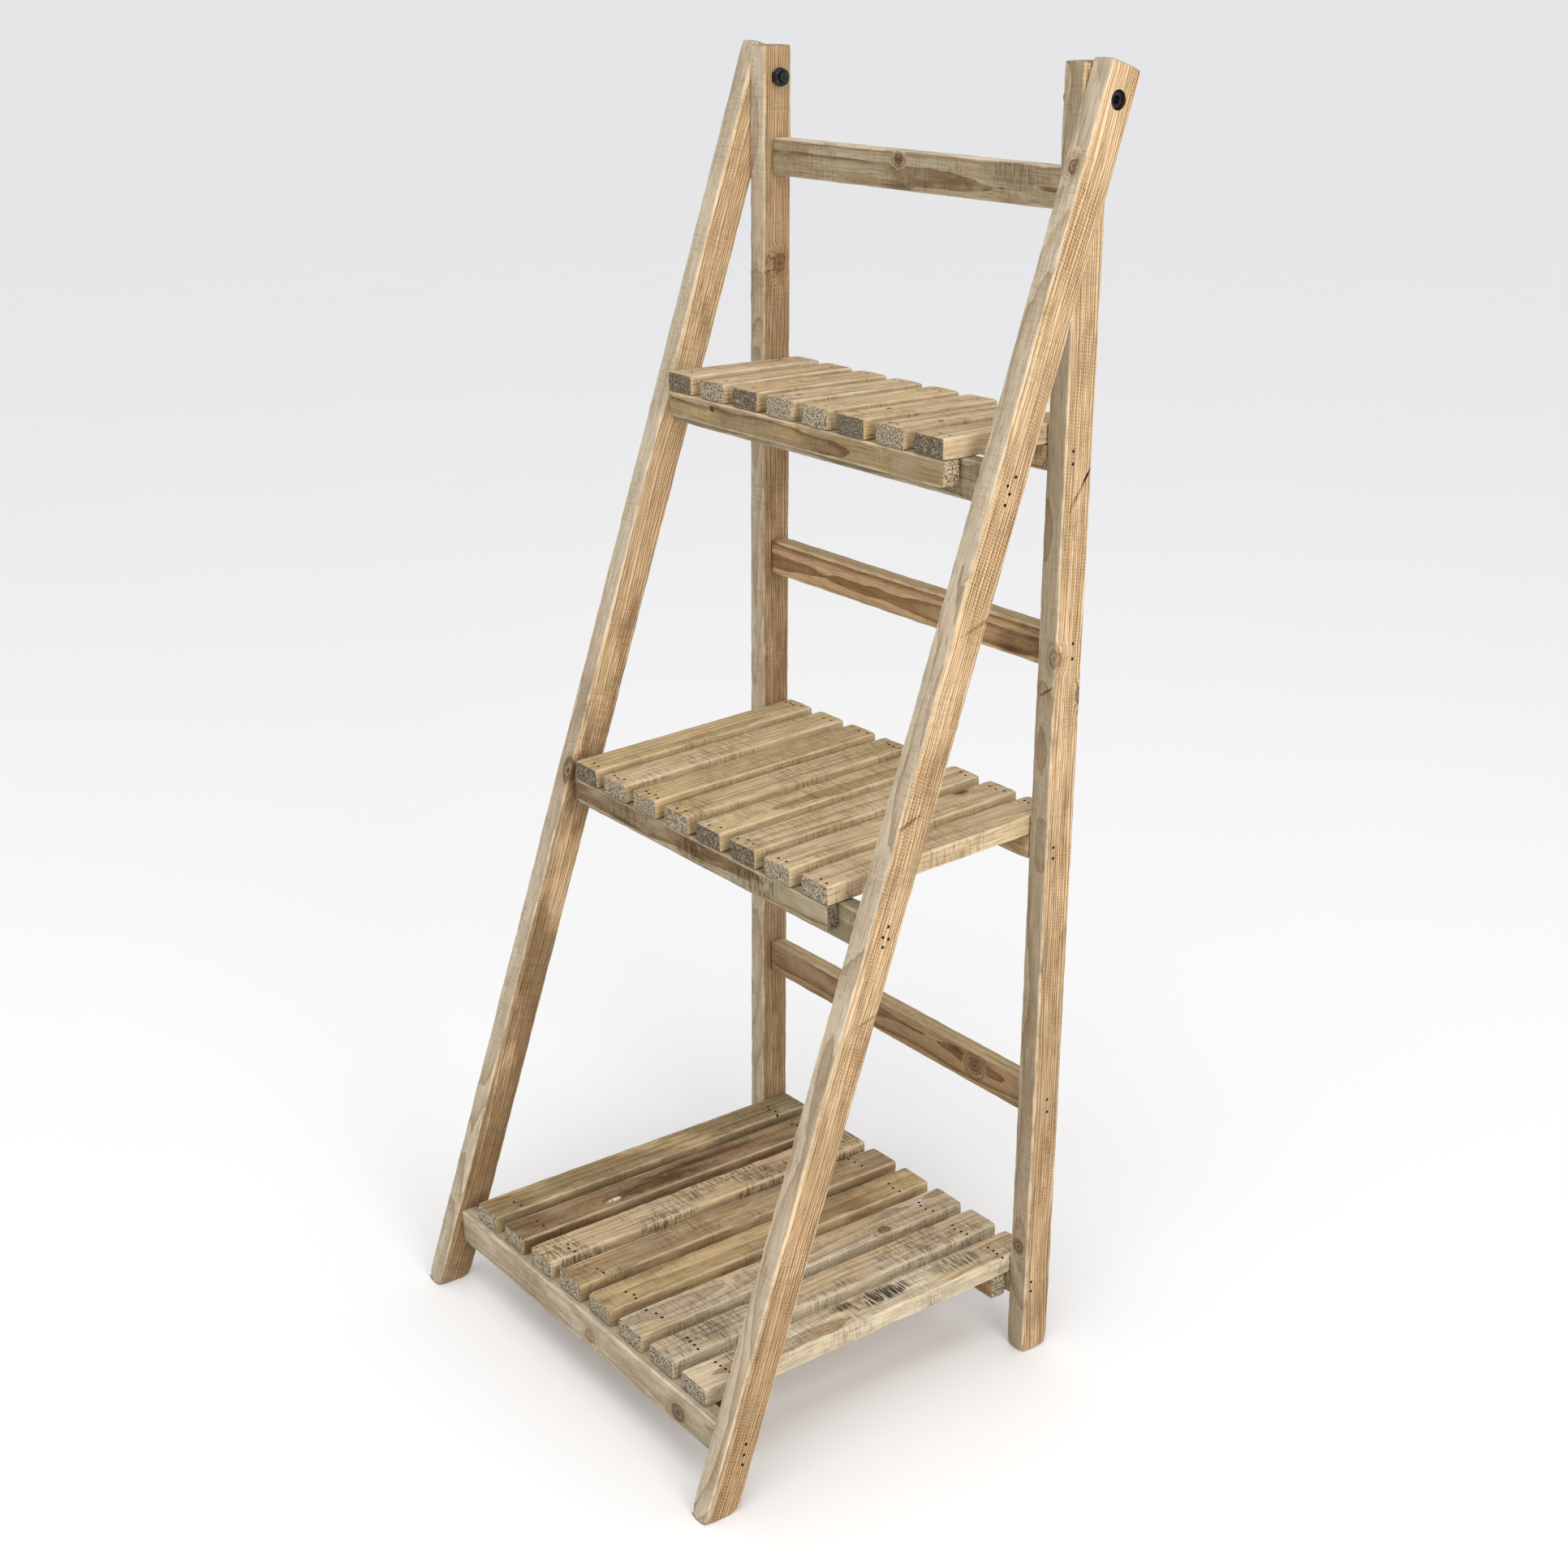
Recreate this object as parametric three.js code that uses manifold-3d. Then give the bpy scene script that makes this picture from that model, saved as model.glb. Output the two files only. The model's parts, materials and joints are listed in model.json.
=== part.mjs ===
// A folding ladder stand for potted plants. Two timber frames turn on a pair of bolts at the top, and three slatted
// shelves lie across them. The battens under the top and middle shelves hook outside their rails, so the frames
// can't spread. Those under the bottom shelf sit inside its rails, so the frames can't close until it is swung up.
//
// Lengths are in millimetres. X runs across the stand, Y from the front to the back and Z up. The origin is on the
// floor, below the middle of the stand's overall box.

import * as THREE from "three";
import { mergeVertices } from "three/addons/utils/BufferGeometryUtils.js";
import Module from "manifold-3d";

// ---- Overall sizes ----

const REAR_LEG_HEIGHT = 1040;
const INNER_WIDTH = 345; // between the rear legs' inner faces
const OPEN_TILT = THREE.MathUtils.degToRad(18.6); // the front frame's lean from upright, standing open

// ---- Legs ----

const LEG_THICKNESS = 20; // along X
const FRONT_LEG_DEPTH = 30;
const REAR_LEG_DEPTH = 28;
const LEG_GAP = 0.5; // between each front leg and the rear leg inside it
const PIVOT_TO_TOP = 25; // from the bolts to the tops of all four legs

// ---- Rails ----

const RAIL_THICKNESS = 16; // along Y
const RAIL_HEIGHT = 30; // of the front rails, the top rail and the tie rails
const SHELF_RAIL_HEIGHT = 20; // of the three rear rails that carry the shelves
const RAIL_SETBACK = 7.5; // of the top rail and the tie rails, from the rear legs' front faces
const TOP_RAIL_DROP = 72; // from the rear legs' tops to the top rail's upper edge
const LOWER_TIE_RAIL_RISE = 133.5; // from the bottom shelf's top to the lower tie rail's lower edge

// ---- Shelves ----

const SLAT_COUNT = 8;
const SLAT_WIDTH = 32;
const SLAT_THICKNESS = 16;
const SHELF_SIDE_CLEARANCE = 1.5; // on each side, between the shelf and the rear legs
const BATTEN_HEIGHT = 20;
const BATTEN_CLEARANCE = 2; // between a batten and the rail that it bears on
const SLAT_LIP = 1; // of the slats past a hooked shelf's front batten
const SWING_CLEARANCE = 11; // between the bottom shelf's front batten and its rail, for the shelf to swing up
const INSET_FROM_FRONT_RAIL = 4; // of the bottom shelf's slats, from the front rail's front face
const OVERHANG_PAST_REAR_RAIL = 10; // of the bottom shelf's slats
const TOP_SHELF_SPACE = 150; // from the top shelf's top to the top rail's lower edge
const MIDDLE_SHELF_SPACE = 308; // from the middle shelf's top to the top shelf's top
const BOTTOM_SHELF_HEIGHT = 85; // from the floor to its top
const TOP_SHELF_HEIGHT = REAR_LEG_HEIGHT - TOP_RAIL_DROP - RAIL_HEIGHT - TOP_SHELF_SPACE;
const MIDDLE_SHELF_HEIGHT = TOP_SHELF_HEIGHT - MIDDLE_SHELF_SPACE;

const SLOPING_SEAT_GAP = 0.3; // under the slats of a sloping shelf, to its battens and to its rails

// Each shelf's height is to the top of its slats above the rear rail. Its front rail may lie lower than the rear one,
// and the shelf then slopes down to the front. Battens are given as [front, rear].
const SHELVES = [
  { name: "top_shelf", height: TOP_SHELF_HEIGHT, frontRailDrop: 0, battenThickness: [16, 16], hooksOutside: true },
  { name: "middle_shelf", height: MIDDLE_SHELF_HEIGHT, frontRailDrop: 9, battenThickness: [10, 12], hooksOutside: true },
  { name: "bottom_shelf", height: BOTTOM_SHELF_HEIGHT, frontRailDrop: 0, battenThickness: [16, 16], hooksOutside: false },
];

// ---- Pivot bolts: M8 cap screws, 40 long under the head ----

const BOLT_DIAMETER = 8;
const BOLT_TIP_PROJECTION = 2.7; // past the nut
const BOLT_HEAD_DIAMETER = 13;
const BOLT_HEAD_HEIGHT = 8;
const BOLT_EDGE = 0.8; // chamfer on the head and the tip
const SOCKET_ACROSS_FLATS = 6;
const SOCKET_DEPTH = 4;
const BOLT_HOLE_CLEARANCE = 0.3; // radial, in both legs and in the nut
const HEAD_CLEARANCE = 0.5; // radial, in the counterbore
const HEAD_SINK = 2; // from the front leg's outer face to the head
const NUT_ACROSS_FLATS = 13;
const NUT_HEIGHT = 6.8;
const NUT_CHAMFER = 1; // of the corners, along the nut's height
const ROUND_SEGMENTS = 48;

// ---- Places worked out from those sizes ----

const REAR_LEG_INNER_X = INNER_WIDTH / 2;
const REAR_LEG_OUTER_X = REAR_LEG_INNER_X + LEG_THICKNESS;
const FRONT_LEG_INNER_X = REAR_LEG_OUTER_X + LEG_GAP;
const FRONT_LEG_OUTER_X = FRONT_LEG_INNER_X + LEG_THICKNESS;
const PIVOT_Y = REAR_LEG_DEPTH / 2; // the rear legs' front faces are at Y = 0 until the stand is centred
const PIVOT_Z = REAR_LEG_HEIGHT - PIVOT_TO_TOP;
const SHELF_WIDTH = INNER_WIDTH - 2 * SHELF_SIDE_CLEARANCE;
const BOLT_HOLE_RADIUS = BOLT_DIAMETER / 2 + BOLT_HOLE_CLEARANCE;
const COUNTERBORE_RADIUS = BOLT_HEAD_DIAMETER / 2 + HEAD_CLEARANCE;
const COUNTERBORE_DEPTH = BOLT_HEAD_HEIGHT + HEAD_SINK;
const BOLT_LENGTH = 2 * LEG_THICKNESS - COUNTERBORE_DEPTH + LEG_GAP + NUT_HEIGHT + BOLT_TIP_PROJECTION;
const SIDES = [
  ["left", -1],
  ["right", 1],
];

// ---- Finishes ----

const finish = (color, roughness, metalness = 0) =>
  new THREE.MeshStandardMaterial({ color, roughness, metalness });
const LEG_WOOD = finish(0xbd9a70, 0.8);
const RAIL_WOOD = finish(0x9d8c70, 0.85);
const SLAT_WOOD = finish(0xc8ad80, 0.85);
const BATTEN_WOOD = finish(0x8f7a55, 0.9);
const BLACK_STEEL = finish(0x1c1d20, 0.4, 0.9);

// ---- Solid geometry ----

const wasm = await Module();
wasm.setup();

function solidOf(geometry) {
  const bare = geometry.clone();
  bare.deleteAttribute("normal");
  bare.deleteAttribute("uv");
  const merged = mergeVertices(bare);
  return new wasm.Manifold(
    new wasm.Mesh({
      numProp: 3,
      vertProperties: merged.getAttribute("position").array,
      triVerts: new Uint32Array(merged.index.array),
    }),
  );
}

function geometryOf(solid) {
  const { vertProperties, triVerts } = solid.getMesh();
  const geometry = new THREE.BufferGeometry()
    .setAttribute("position", new THREE.BufferAttribute(vertProperties, 3))
    .setIndex(new THREE.BufferAttribute(triVerts, 1));
  geometry.computeVertexNormals();
  return geometry;
}

// A cylinder or prism along X, centred on x.
function roundAlongX(radius, length, x = 0, segments = ROUND_SEGMENTS) {
  return new THREE.CylinderGeometry(radius, radius, length, segments).rotateZ(Math.PI / 2).translate(x, 0, 0);
}

function hexAlongX(acrossFlats, length, x = 0) {
  return roundAlongX(acrossFlats / Math.sqrt(3), length, x, 6);
}

// A closed profile of [radius, distance along the axis] pairs, turned about the axis, with the axis laid along X.
function turnedAlongX(profile) {
  const points = profile.map(([radius, along]) => new THREE.Vector2(radius, along));
  return new THREE.LatheGeometry(points, ROUND_SEGMENTS).rotateZ(-Math.PI / 2);
}

function named(name, geometry, material) {
  const mesh = new THREE.Mesh(geometry, material);
  mesh.name = name;
  return mesh;
}

// A straight length of timber, by its lowest and highest corner.
function board(name, [x0, y0, z0], [x1, y1, z1], material) {
  const mesh = named(name, new THREE.BoxGeometry(x1 - x0, y1 - y0, z1 - z0), material);
  mesh.position.set((x0 + x1) / 2, (y0 + y1) / 2, (z0 + z1) / 2);
  return mesh;
}

// ---- Legs ----

// A leg about its bolt hole: an outline in [Y, Z] pairs, extruded along X.
function legBlank(outline) {
  const shape = new THREE.Shape(outline.map(([y, z]) => new THREE.Vector2(y, z)));
  const alongX = new THREE.Matrix4().makeBasis(
    new THREE.Vector3(0, 1, 0),
    new THREE.Vector3(0, 0, 1),
    new THREE.Vector3(1, 0, 0),
  );
  return new THREE.ExtrudeGeometry(shape, { depth: LEG_THICKNESS, bevelEnabled: false })
    .translate(0, 0, -LEG_THICKNESS / 2)
    .applyMatrix4(alongX);
}

function rearLeg(side, sign) {
  const half = REAR_LEG_DEPTH / 2;
  const blank = legBlank([
    [-half, -PIVOT_Z],
    [half, -PIVOT_Z],
    [half, PIVOT_TO_TOP],
    [-half, PIVOT_TO_TOP],
  ]);
  const hole = roundAlongX(BOLT_HOLE_RADIUS, 2 * LEG_THICKNESS);
  const leg = named(`rear_leg_${side}`, geometryOf(solidOf(blank).subtract(solidOf(hole))), LEG_WOOD);
  leg.position.set(sign * (REAR_LEG_INNER_X + LEG_THICKNESS / 2), PIVOT_Y, PIVOT_Z);
  return leg;
}

// The front leg stands on the floor at its open tilt, so its foot is cut along the floor. Its top is cut square.
function frontLeg(side, sign) {
  const half = FRONT_LEG_DEPTH / 2;
  const footAt = (y) => (y * Math.sin(OPEN_TILT) - PIVOT_Z) / Math.cos(OPEN_TILT);
  const blank = legBlank([
    [-half, footAt(-half)],
    [half, footAt(half)],
    [half, PIVOT_TO_TOP],
    [-half, PIVOT_TO_TOP],
  ]);
  const hole = roundAlongX(BOLT_HOLE_RADIUS, 2 * LEG_THICKNESS);
  const outerFace = (sign * LEG_THICKNESS) / 2;
  const counterbore = roundAlongX(COUNTERBORE_RADIUS, 2 * COUNTERBORE_DEPTH, outerFace);
  const solid = solidOf(blank).subtract(solidOf(hole)).subtract(solidOf(counterbore));
  const leg = named(`front_leg_${side}`, geometryOf(solid), LEG_WOOD);
  leg.position.x = sign * (FRONT_LEG_INNER_X + LEG_THICKNESS / 2);
  return leg;
}

// ---- Rails ----

// Where the front leg's centre line lies along Y at height z, standing open.
function frontLegCentreY(z) {
  return PIVOT_Y - (PIVOT_Z - z) * Math.tan(OPEN_TILT);
}

// The upper edge of a shelf's rear rail, which its slats lie on.
function rearRailTop(shelf) {
  return shelf.height - SLAT_THICKNESS;
}

// Each front rail is upright, in the middle of the legs' depth, with its top edge under the slats.
function frontRailPlace(shelf) {
  const top = rearRailTop(shelf) - shelf.frontRailDrop;
  const bottom = top - RAIL_HEIGHT;
  const centreY = frontLegCentreY((top + bottom) / 2);
  return { front: centreY - RAIL_THICKNESS / 2, rear: centreY + RAIL_THICKNESS / 2, bottom, top };
}

function frontRail(shelf) {
  const { front, rear, bottom, top } = frontRailPlace(shelf);
  return board(
    `front_rail_${shelf.name}`,
    [-FRONT_LEG_INNER_X, front, bottom],
    [FRONT_LEG_INNER_X, rear, top],
    RAIL_WOOD,
  );
}

// A rail between the rear legs, by its front face, upper edge and height.
function rearRail(name, front, top, height) {
  return board(
    name,
    [-REAR_LEG_INNER_X, front, top - height],
    [REAR_LEG_INNER_X, front + RAIL_THICKNESS, top],
    RAIL_WOOD,
  );
}

// ---- Shelves ----

// Where a shelf's slats and battens lie along Y, before it slopes.
function shelfPlaces(shelf) {
  const rail = frontRailPlace(shelf);
  const [frontThick, rearThick] = shelf.battenThickness;
  if (shelf.hooksOutside) {
    const frontBatten = rail.front - BATTEN_CLEARANCE - frontThick;
    const rearBatten = RAIL_THICKNESS + BATTEN_CLEARANCE;
    return { frontBatten, rearBatten, slatFront: frontBatten - SLAT_LIP, slatRear: rearBatten + rearThick };
  }
  return {
    frontBatten: rail.rear + SWING_CLEARANCE,
    rearBatten: -BATTEN_CLEARANCE - rearThick,
    slatFront: rail.front + INSET_FROM_FRONT_RAIL,
    slatRear: RAIL_THICKNESS + OVERHANG_PAST_REAR_RAIL,
  };
}

// A batten across a shelf, with its upper edge at the height top.
function batten(name, front, thickness, top) {
  return board(
    name,
    [-SHELF_WIDTH / 2, front, top - BATTEN_HEIGHT],
    [SHELF_WIDTH / 2, front + thickness, top],
    BATTEN_WOOD,
  );
}

// A shelf is built level, with its slats' undersides at Z = 0. It is then raised onto its rails, and turned about the
// front upper edge of the rear rail until it meets the front rail's front upper edge.
function shelfGroup(shelf) {
  const group = new THREE.Group();
  const { frontBatten, rearBatten, slatFront, slatRear } = shelfPlaces(shelf);
  const pitch = (SHELF_WIDTH - SLAT_WIDTH) / (SLAT_COUNT - 1);
  for (let i = 0; i < SLAT_COUNT; i++) {
    const left = -SHELF_WIDTH / 2 + i * pitch;
    const lowest = [left, slatFront, 0];
    group.add(board(`${shelf.name}_slat_${i + 1}`, lowest, [left + SLAT_WIDTH, slatRear, SLAT_THICKNESS], SLAT_WOOD));
  }
  const seatGap = shelf.frontRailDrop > 0 ? SLOPING_SEAT_GAP : 0;
  const [frontThick, rearThick] = shelf.battenThickness;
  group.add(batten(`${shelf.name}_front_batten`, frontBatten, frontThick, -seatGap));
  group.add(batten(`${shelf.name}_rear_batten`, rearBatten, rearThick, -seatGap));
  group.rotation.x = Math.atan2(shelf.frontRailDrop, -frontRailPlace(shelf).front);
  group.position.z = rearRailTop(shelf) + seatGap;
  return group;
}

// ---- Pivot bolts and nuts ----

// The head bears on the counterbore's floor and the shank points inwards.
function pivotBolt(side, sign) {
  const radius = BOLT_DIAMETER / 2;
  const headRadius = BOLT_HEAD_DIAMETER / 2;
  const turned = turnedAlongX([
    [0, -BOLT_LENGTH],
    [radius - BOLT_EDGE, -BOLT_LENGTH],
    [radius, -BOLT_LENGTH + BOLT_EDGE],
    [radius, 0],
    [headRadius, 0],
    [headRadius, BOLT_HEAD_HEIGHT - BOLT_EDGE],
    [headRadius - BOLT_EDGE, BOLT_HEAD_HEIGHT],
    [0, BOLT_HEAD_HEIGHT],
  ]);
  const socket = hexAlongX(SOCKET_ACROSS_FLATS, 2 * SOCKET_DEPTH, BOLT_HEAD_HEIGHT);
  const bolt = named(`pivot_bolt_${side}`, geometryOf(solidOf(turned).subtract(solidOf(socket))), BLACK_STEEL);
  bolt.position.set(sign * (FRONT_LEG_OUTER_X - COUNTERBORE_DEPTH), PIVOT_Y, PIVOT_Z);
  if (sign < 0) bolt.rotation.y = Math.PI;
  return bolt;
}

function pivotNut(side, sign) {
  const cornerRadius = NUT_ACROSS_FLATS / Math.sqrt(3);
  const flatRadius = NUT_ACROSS_FLATS / 2;
  const half = NUT_HEIGHT / 2;
  const envelope = turnedAlongX([
    [0, -half],
    [flatRadius, -half],
    [cornerRadius, -half + NUT_CHAMFER],
    [cornerRadius, half - NUT_CHAMFER],
    [flatRadius, half],
    [0, half],
  ]);
  const bore = roundAlongX(BOLT_HOLE_RADIUS, 2 * NUT_HEIGHT);
  const solid = solidOf(hexAlongX(NUT_ACROSS_FLATS, NUT_HEIGHT)).intersect(solidOf(envelope)).subtract(solidOf(bore));
  const nut = named(`pivot_nut_${side}`, geometryOf(solid), BLACK_STEEL);
  nut.position.set(sign * (REAR_LEG_INNER_X - half), PIVOT_Y, PIVOT_Z);
  return nut;
}

// ---- The two frames and the whole stand ----

function rearFrame() {
  const group = new THREE.Group();
  for (const [side, sign] of SIDES) group.add(rearLeg(side, sign), pivotBolt(side, sign), pivotNut(side, sign));
  // The upper tie rail lies midway between the middle shelf and the rail above it.
  const [topShelf, middleShelf] = SHELVES;
  const upperTieCentre = (middleShelf.height + rearRailTop(topShelf) - SHELF_RAIL_HEIGHT) / 2;
  const setBackRailTops = {
    rear_top_rail: REAR_LEG_HEIGHT - TOP_RAIL_DROP,
    rear_upper_tie_rail: upperTieCentre + RAIL_HEIGHT / 2,
    rear_lower_tie_rail: BOTTOM_SHELF_HEIGHT + LOWER_TIE_RAIL_RISE + RAIL_HEIGHT,
  };
  for (const [name, top] of Object.entries(setBackRailTops)) group.add(rearRail(name, RAIL_SETBACK, top, RAIL_HEIGHT));
  for (const shelf of SHELVES)
    group.add(rearRail(`rear_rail_${shelf.name}`, 0, rearRailTop(shelf), SHELF_RAIL_HEIGHT));
  return group;
}

function frontFrame() {
  const group = new THREE.Group();
  const legs = new THREE.Group();
  legs.position.set(0, PIVOT_Y, PIVOT_Z);
  legs.rotation.x = -OPEN_TILT;
  for (const [side, sign] of SIDES) legs.add(frontLeg(side, sign));
  group.add(legs);
  for (const shelf of SHELVES) group.add(frontRail(shelf));
  return group;
}

const stand = new THREE.Group();
stand.add(rearFrame(), frontFrame(), ...SHELVES.map(shelfGroup));
stand.position.y = -new THREE.Box3().setFromObject(stand, true).getCenter(new THREE.Vector3()).y;

export default stand;
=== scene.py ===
"""A folding timber ladder stand for potted plants, built around its packed CAD frame.

Every board is made again from its CAD node's own axes and sizes, with sanded arrises, worn corners, sunk
nails and a timber finish of its own. Lengths are in metres, but the boards' own coordinates in the shaders
are in millimetres.
"""

import json
import math
import random
from dataclasses import dataclass

import bmesh
import bpy
from bpy.props import FloatProperty, FloatVectorProperty, IntProperty, PointerProperty
from mathutils import Color, Matrix, Vector, noise

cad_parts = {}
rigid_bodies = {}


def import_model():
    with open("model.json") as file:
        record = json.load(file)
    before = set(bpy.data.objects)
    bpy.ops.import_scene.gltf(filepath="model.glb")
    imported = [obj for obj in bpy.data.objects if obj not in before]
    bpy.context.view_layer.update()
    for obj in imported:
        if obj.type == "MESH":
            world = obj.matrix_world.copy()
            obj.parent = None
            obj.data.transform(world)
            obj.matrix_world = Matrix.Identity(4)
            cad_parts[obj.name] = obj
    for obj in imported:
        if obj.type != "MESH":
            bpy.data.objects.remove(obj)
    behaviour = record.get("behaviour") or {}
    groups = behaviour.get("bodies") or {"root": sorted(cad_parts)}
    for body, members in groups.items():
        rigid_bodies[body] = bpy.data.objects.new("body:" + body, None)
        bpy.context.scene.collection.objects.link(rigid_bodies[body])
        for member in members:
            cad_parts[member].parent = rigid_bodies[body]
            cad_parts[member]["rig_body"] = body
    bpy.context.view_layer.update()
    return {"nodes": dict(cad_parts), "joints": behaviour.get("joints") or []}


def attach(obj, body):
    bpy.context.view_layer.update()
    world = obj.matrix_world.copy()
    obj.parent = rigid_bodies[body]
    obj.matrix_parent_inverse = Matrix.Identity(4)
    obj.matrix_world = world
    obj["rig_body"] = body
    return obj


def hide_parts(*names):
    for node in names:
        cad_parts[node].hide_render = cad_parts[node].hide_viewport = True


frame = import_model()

bl_info = {
    "name": "Plant ladder stand",
    "version": (1, 0, 0),
    "blender": (4, 5, 0),
    "location": "3D View > Sidebar > Stand",
    "description": "Builds a folding timber ladder stand around its packed CAD frame",
    "category": "Object",
}

MM = 0.001
GRAIN = "grain"  # each point's place on its board, in millimetres
REAR_LEG_FRONT_Y = 153.61  # mm, where the rear legs' front faces stand
BOTTOM_SHELF_TOP = 85  # mm
SENSOR_WIDTH = 36  # mm
FLOOR_RADIUS, VIEW_REACH = 120, 400  # m

# Bumps to a metre of the boards' wear: hollows across and along the grain, knocks and chips.
HOLLOWS_ACROSS, HOLLOWS_ALONG, KNOCKS, CHIPS = 60, 9, 70, 240
HOLE_SEGMENTS, HEAD_SEGMENTS = 12, 10
HEAD_FIT = 0.86  # a nail's head over its hole
HEAD_BEVEL = 0.0001  # m
NAIL_GAP, NAIL_ROW, ROW_STRAY = 0.009, 0.024, 0.006  # m: widest gap, longest row, how far a row strays across
LEFT_LEG_STRAY = 2  # mm, how far the left legs' nails stray from the right legs'

# ---- Sizes and colours that a user would change ----


def length(name, description, default):
    """A length that the panel shows in the scene's units."""
    return FloatProperty(
        name=name, description=description, default=default, min=0, unit="LENGTH", precision=5
    )


def stain(name, description, red, green, blue):
    """A colour given by its display values out of 255."""
    return FloatVectorProperty(
        name=name, description=description, subtype="COLOR_GAMMA", min=0, max=1,
        default=(red / 255, green / 255, blue / 255),
    )


class TimberSettings(bpy.types.PropertyGroup):
    """Shape of the sawn and sanded boards."""

    arris_radius: length("Arris radius", "Rounding of the legs' and rails' long edges and ends", 0.0017)
    slat_arris_radius: length("Slat arris radius", "Rounding of the slats' and battens' edges", 0.0010)
    arris_wear: length("Arris wear", "Deepest sanding and knocks along the arrises", 0.0007)
    corner_wear: length("Corner wear", "Extra rounding of the corners of the ends", 0.0006)
    foot_wear: length("Foot wear", "Extra rounding of the feet's corners", 0.0026)
    face_wear: length("Face wear", "Deepest hollow of the broad faces", 0.00018)
    slice_length: length("Slice length", "Length of the mesh's slices along a board", 0.004)
    strip_width: length("Strip width", "Width of the mesh's strips across a board", 0.0042)
    end_trim: length("End trim", "Most that a slat's front end falls short", 0.0014)


class StainSettings(bpy.types.PropertyGroup):
    """Colours of the timber, as seen in full light."""

    honey: stain("Honey", "Warm tan of the legs' upper side faces", 235, 206, 166)
    tan: stain("Tan", "Browner tan of the legs' lower parts", 203, 173, 134)
    weathered: stain("Weathered", "Grey tan of the legs' front faces", 206, 191, 168)
    beige: stain("Beige", "Dry beige of the upper slats", 216, 193, 156)
    pale: stain("Pale", "Sanded, palest timber", 232, 218, 190)
    straw: stain("Straw", "Yellowish timber", 208, 183, 136)
    brown: stain("Brown", "Heartwood brown", 168, 139, 103)
    umber: stain("Umber", "Dark stained rails", 134, 105, 70)
    olive: stain("Olive", "Olive brown battens", 154, 132, 95)
    grey: stain("Grey", "Weathered grey", 176, 161, 135)
    greenish: stain("Greenish", "Grey green weathering", 152, 143, 115)
    # Charcoal also paints the shade in the holes, cracks and pits.
    charcoal: stain("Charcoal", "Dark smudges and dirt", 64, 55, 46)
    knot: stain("Knot", "Knots", 92, 60, 38)
    end_dark: stain("Dark end", "Dark end grain", 118, 108, 88)
    end_light: stain("Light end", "Light end grain", 182, 170, 144)


class NailSettings(bpy.types.PropertyGroup):
    """Nails sunk in the legs and slats."""

    hole_diameter: length("Hole diameter", "Width of the hole over a sunk nail", 0.0027)
    hole_depth: length("Hole depth", "Depth of the hole over a sunk nail", 0.0018)
    head_thickness: length("Head thickness", "Thickness of a nail's head", 0.0005)
    scatter: length("Scatter", "How far a nail strays from its row", 0.0028)


class HardwareSettings(bpy.types.PropertyGroup):
    """Pivot bolts and nuts."""

    hole_diameter: length("Bolt hole", "Diameter of the bolt's hole", 0.0086)
    counterbore_diameter: length("Counterbore diameter", "Diameter of the hole around the head", 0.014)
    counterbore_depth: length("Counterbore depth", "Depth of the hole around the head", 0.010)
    edge_radius: length("Edge radius", "Rounding of the steel's edges", 0.00025)
    round_segments: IntProperty(name="Segments", description="Sides of a round hole", default=40, min=12)


class StageSettings(bpy.types.PropertyGroup):
    """Floor, lamps and camera."""

    floor_colour: stain("Floor", "Colour of the pale floor", 246, 245, 243)
    sky_colour: stain("Sky", "Colour of the even light all round", 250, 251, 255)
    sky_strength: FloatProperty(
        name="Sky strength", description="Strength of the even light", default=0.9, min=0
    )
    camera_place: FloatVectorProperty(
        name="Camera place", description="Where the camera stands", subtype="TRANSLATION", unit="LENGTH",
        default=(1.33905, -0.97962, 1.10259),
    )
    camera_heading: FloatProperty(
        name="Heading", description="Camera's turn about Z from facing +Y", unit="ROTATION",
        default=math.radians(52.58),
    )
    camera_tilt: FloatProperty(
        name="Tilt", description="Camera's fall below the horizon", unit="ROTATION",
        default=math.radians(20.257),
    )
    camera_roll: FloatProperty(
        name="Roll", description="Camera's turn about its own view", unit="ROTATION",
        default=math.radians(0.244),
    )
    focal_length: FloatProperty(
        name="Focal length", description="Lens on a sensor 36 mm wide", unit="CAMERA", default=51.133, min=1
    )


# ---- Boards ----


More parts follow.
